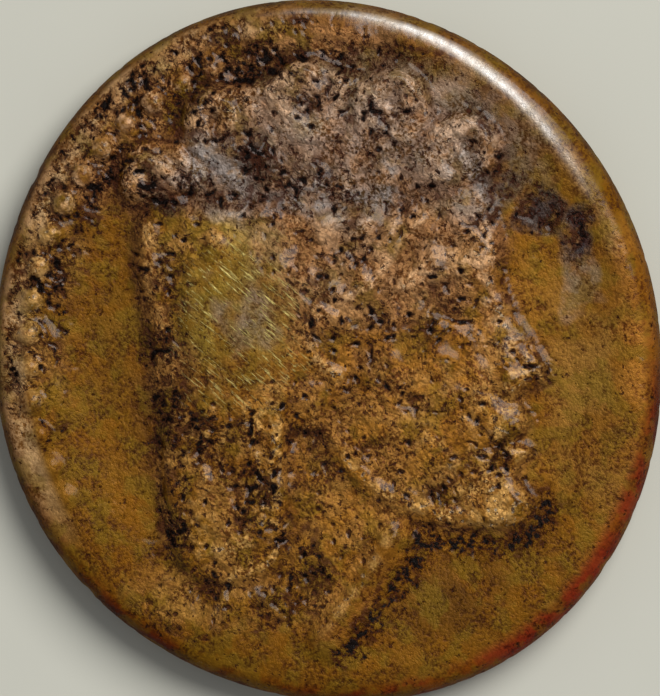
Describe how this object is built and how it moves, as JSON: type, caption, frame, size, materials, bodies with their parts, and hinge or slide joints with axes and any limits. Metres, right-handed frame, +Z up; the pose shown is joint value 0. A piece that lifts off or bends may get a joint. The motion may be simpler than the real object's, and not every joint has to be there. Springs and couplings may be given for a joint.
{
  "type": "coin",
  "caption": "Worn struck bronze coin with a head facing right in a pellet border and a star in a wreath on the reverse, on an uneven flan, lying flat.",
  "frame": {"origin": "under the middle of the coin, on the plane that its reverse rests on", "axes": "+Z up out of the obverse, +Y towards the top of the head, +X the way the head faces"},
  "size_m": [0.0242, 0.0254, 0.0029],
  "materials": {
    "bronze": "worn bronze with a brown patina, dark deposits in the recesses and round the relief, and a soft sheen on the fields and the rim"
  },
  "bodies": {
    "root": {"coin": "bronze"}
  },
  "joints": []
}
